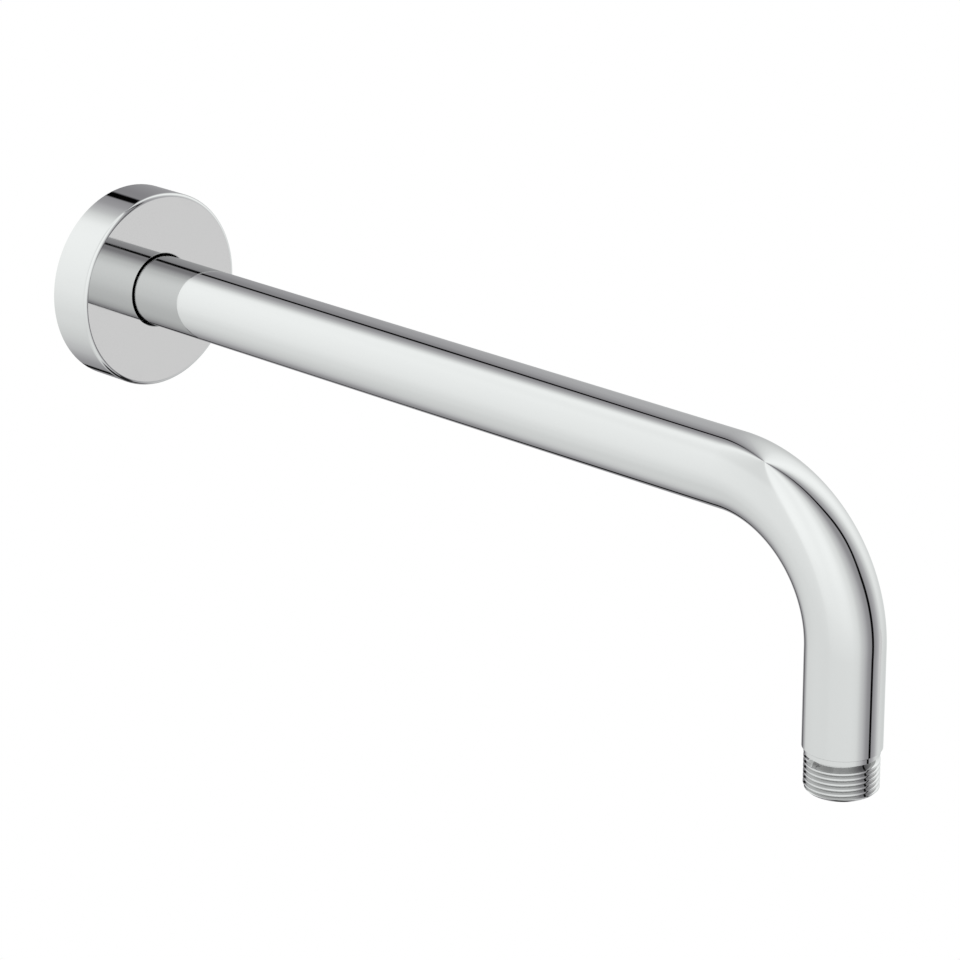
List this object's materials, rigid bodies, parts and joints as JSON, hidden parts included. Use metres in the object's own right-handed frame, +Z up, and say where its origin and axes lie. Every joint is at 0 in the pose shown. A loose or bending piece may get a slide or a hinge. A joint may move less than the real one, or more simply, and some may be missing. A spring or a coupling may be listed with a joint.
{
  "type": "shower arm",
  "caption": "Chrome wall shower arm: a straight round tube with a quarter bend down to a male pipe thread, and a round wall flange that slides along the tube on a rubber seal.",
  "frame": {"origin": "on the axis of the inlet thread, in the plane of the wall that the flange's back rim lies on", "axes": "+Y goes into the wall along the inlet thread, the arm comes out along -Y, +Z is up and the outlet points along -Z"},
  "size_m": [0.061, 0.3149, 0.1115],
  "materials": {
    "polished_chrome": "mirror-polished chrome plate on brass",
    "turned_chrome": "chrome plate on turned and threaded brass",
    "seal_rubber": "moulded black rubber"
  },
  "bodies": {
    "arm": {"arm_tube": "polished_chrome", "inlet_nipple": "turned_chrome", "outlet_nipple": "turned_chrome"},
    "flange": {"wall_flange": "polished_chrome", "flange_o_ring": "seal_rubber"}
  },
  "joints": [
    {"name": "flange_slide", "type": "slide", "parent": "arm", "child": "flange", "axis": [0, -1, 0], "range_m": [0, 0.23]}
  ]
}
